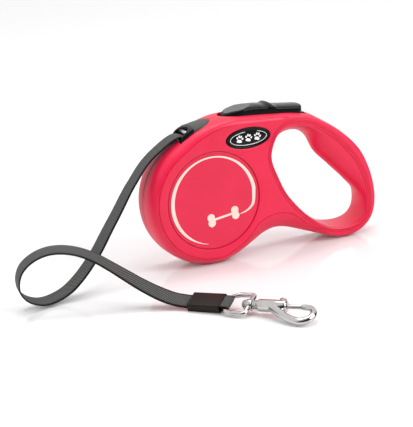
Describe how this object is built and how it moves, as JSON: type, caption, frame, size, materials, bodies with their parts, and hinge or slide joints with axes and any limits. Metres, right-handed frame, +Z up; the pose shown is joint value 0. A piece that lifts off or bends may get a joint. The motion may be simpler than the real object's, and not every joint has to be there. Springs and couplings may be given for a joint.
{
  "type": "retractable leash",
  "caption": "Retractable tape leash with a D-shaped hand grip, a thumb brake on top, a sprung reel inside and a flat tape ending in a swivel bolt hook.",
  "frame": {"origin": "middle of the footprint of the housing, on the surface it stands on; the tape and hook aren't counted", "axes": "+X from the nozzle end towards the hand grip, +Z up, -Y out of the side face next to which the tape's loop lies"},
  "size_m": [0.2514, 0.1591, 0.0959],
  "materials": {
    "housing_red": "satin",
    "gloss_black": "gloss",
    "satin_grey": "satin, fine texture",
    "reel_plastic": "matte",
    "tape_fabric": "woven",
    "sleeve_plastic": "satin",
    "chrome": "polished",
    "spring_steel": "bright"
  },
  "bodies": {
    "housing": {"near_shell": "housing_red", "far_shell": "housing_red", "near_disc": "housing_red", "far_disc": "housing_red", "near_badge": "gloss_black", "far_badge": "gloss_black", "nozzle_collar": "gloss_black", "nozzle_cap": "satin_grey", "guide_pins": "spring_steel", "axle": "spring_steel", "axle_washers": "spring_steel", "housing_screws": "spring_steel", "tape_lead": "tape_fabric", "lever_pin": "spring_steel", "brake_spring": "spring_steel", "tape": "tape_fabric", "tape_end": "tape_fabric", "tape_sleeve": "sleeve_plastic"},
    "reel": {"reel": "reel_plastic", "reel_cover": "reel_plastic", "cover_screws": "spring_steel", "main_spring": "spring_steel", "tape_coil": "tape_fabric"},
    "lever": {"brake_lever": "gloss_black"},
    "button": {"brake_button": "gloss_black", "button_grip": "satin_grey"},
    "frame": {"swivel_frame": "chrome"},
    "hook": {"swivel_rivet": "chrome", "hook_body": "chrome", "bolt_spring": "spring_steel"},
    "bolt": {"hook_bolt": "chrome", "bolt_knob": "chrome"}
  },
  "joints": [
    {"name": "reel_spin", "type": "hinge", "parent": "housing", "child": "reel", "pos_m": [-0.0366, 0, 0.0418], "axis": [0, 1, 0], "continuous": true, "stiffness_Nm_per_rad": 0.01},
    {"name": "brake_press", "type": "hinge", "parent": "housing", "child": "lever", "pos_m": [0.0254, 0, 0.0803], "axis": [0, -1, 0], "range_deg": [0, 3.2], "stiffness_Nm_per_rad": 0.2, "springref_deg": -17.19, "deforming": ["brake_spring"]},
    {"name": "brake_lock", "type": "slide", "parent": "lever", "child": "button", "axis": [-0.9968, 0, 0.0797], "range_m": [0, 0.0014], "stiffness_N_per_m": 100, "springref_m": -0.003},
    {"name": "frame_swing", "type": "hinge", "parent": "housing", "child": "frame", "pos_m": [-0.06779, -0.09497, 0.00481], "axis": [0.7155, 0.6182, 0.3253], "range_deg": [-70, 70]},
    {"name": "hook_swivel", "type": "hinge", "parent": "frame", "child": "hook", "pos_m": [-0.05815, -0.10645, 0.00543], "axis": [0.6422, -0.7654, 0.0419], "continuous": true},
    {"name": "bolt_slide", "type": "slide", "parent": "hook", "child": "bolt", "axis": [-0.6422, 0.7654, -0.0419], "range_m": [0, 0.006], "stiffness_N_per_m": 60, "springref_m": -0.01, "deforming": ["bolt_spring"]}
  ]
}
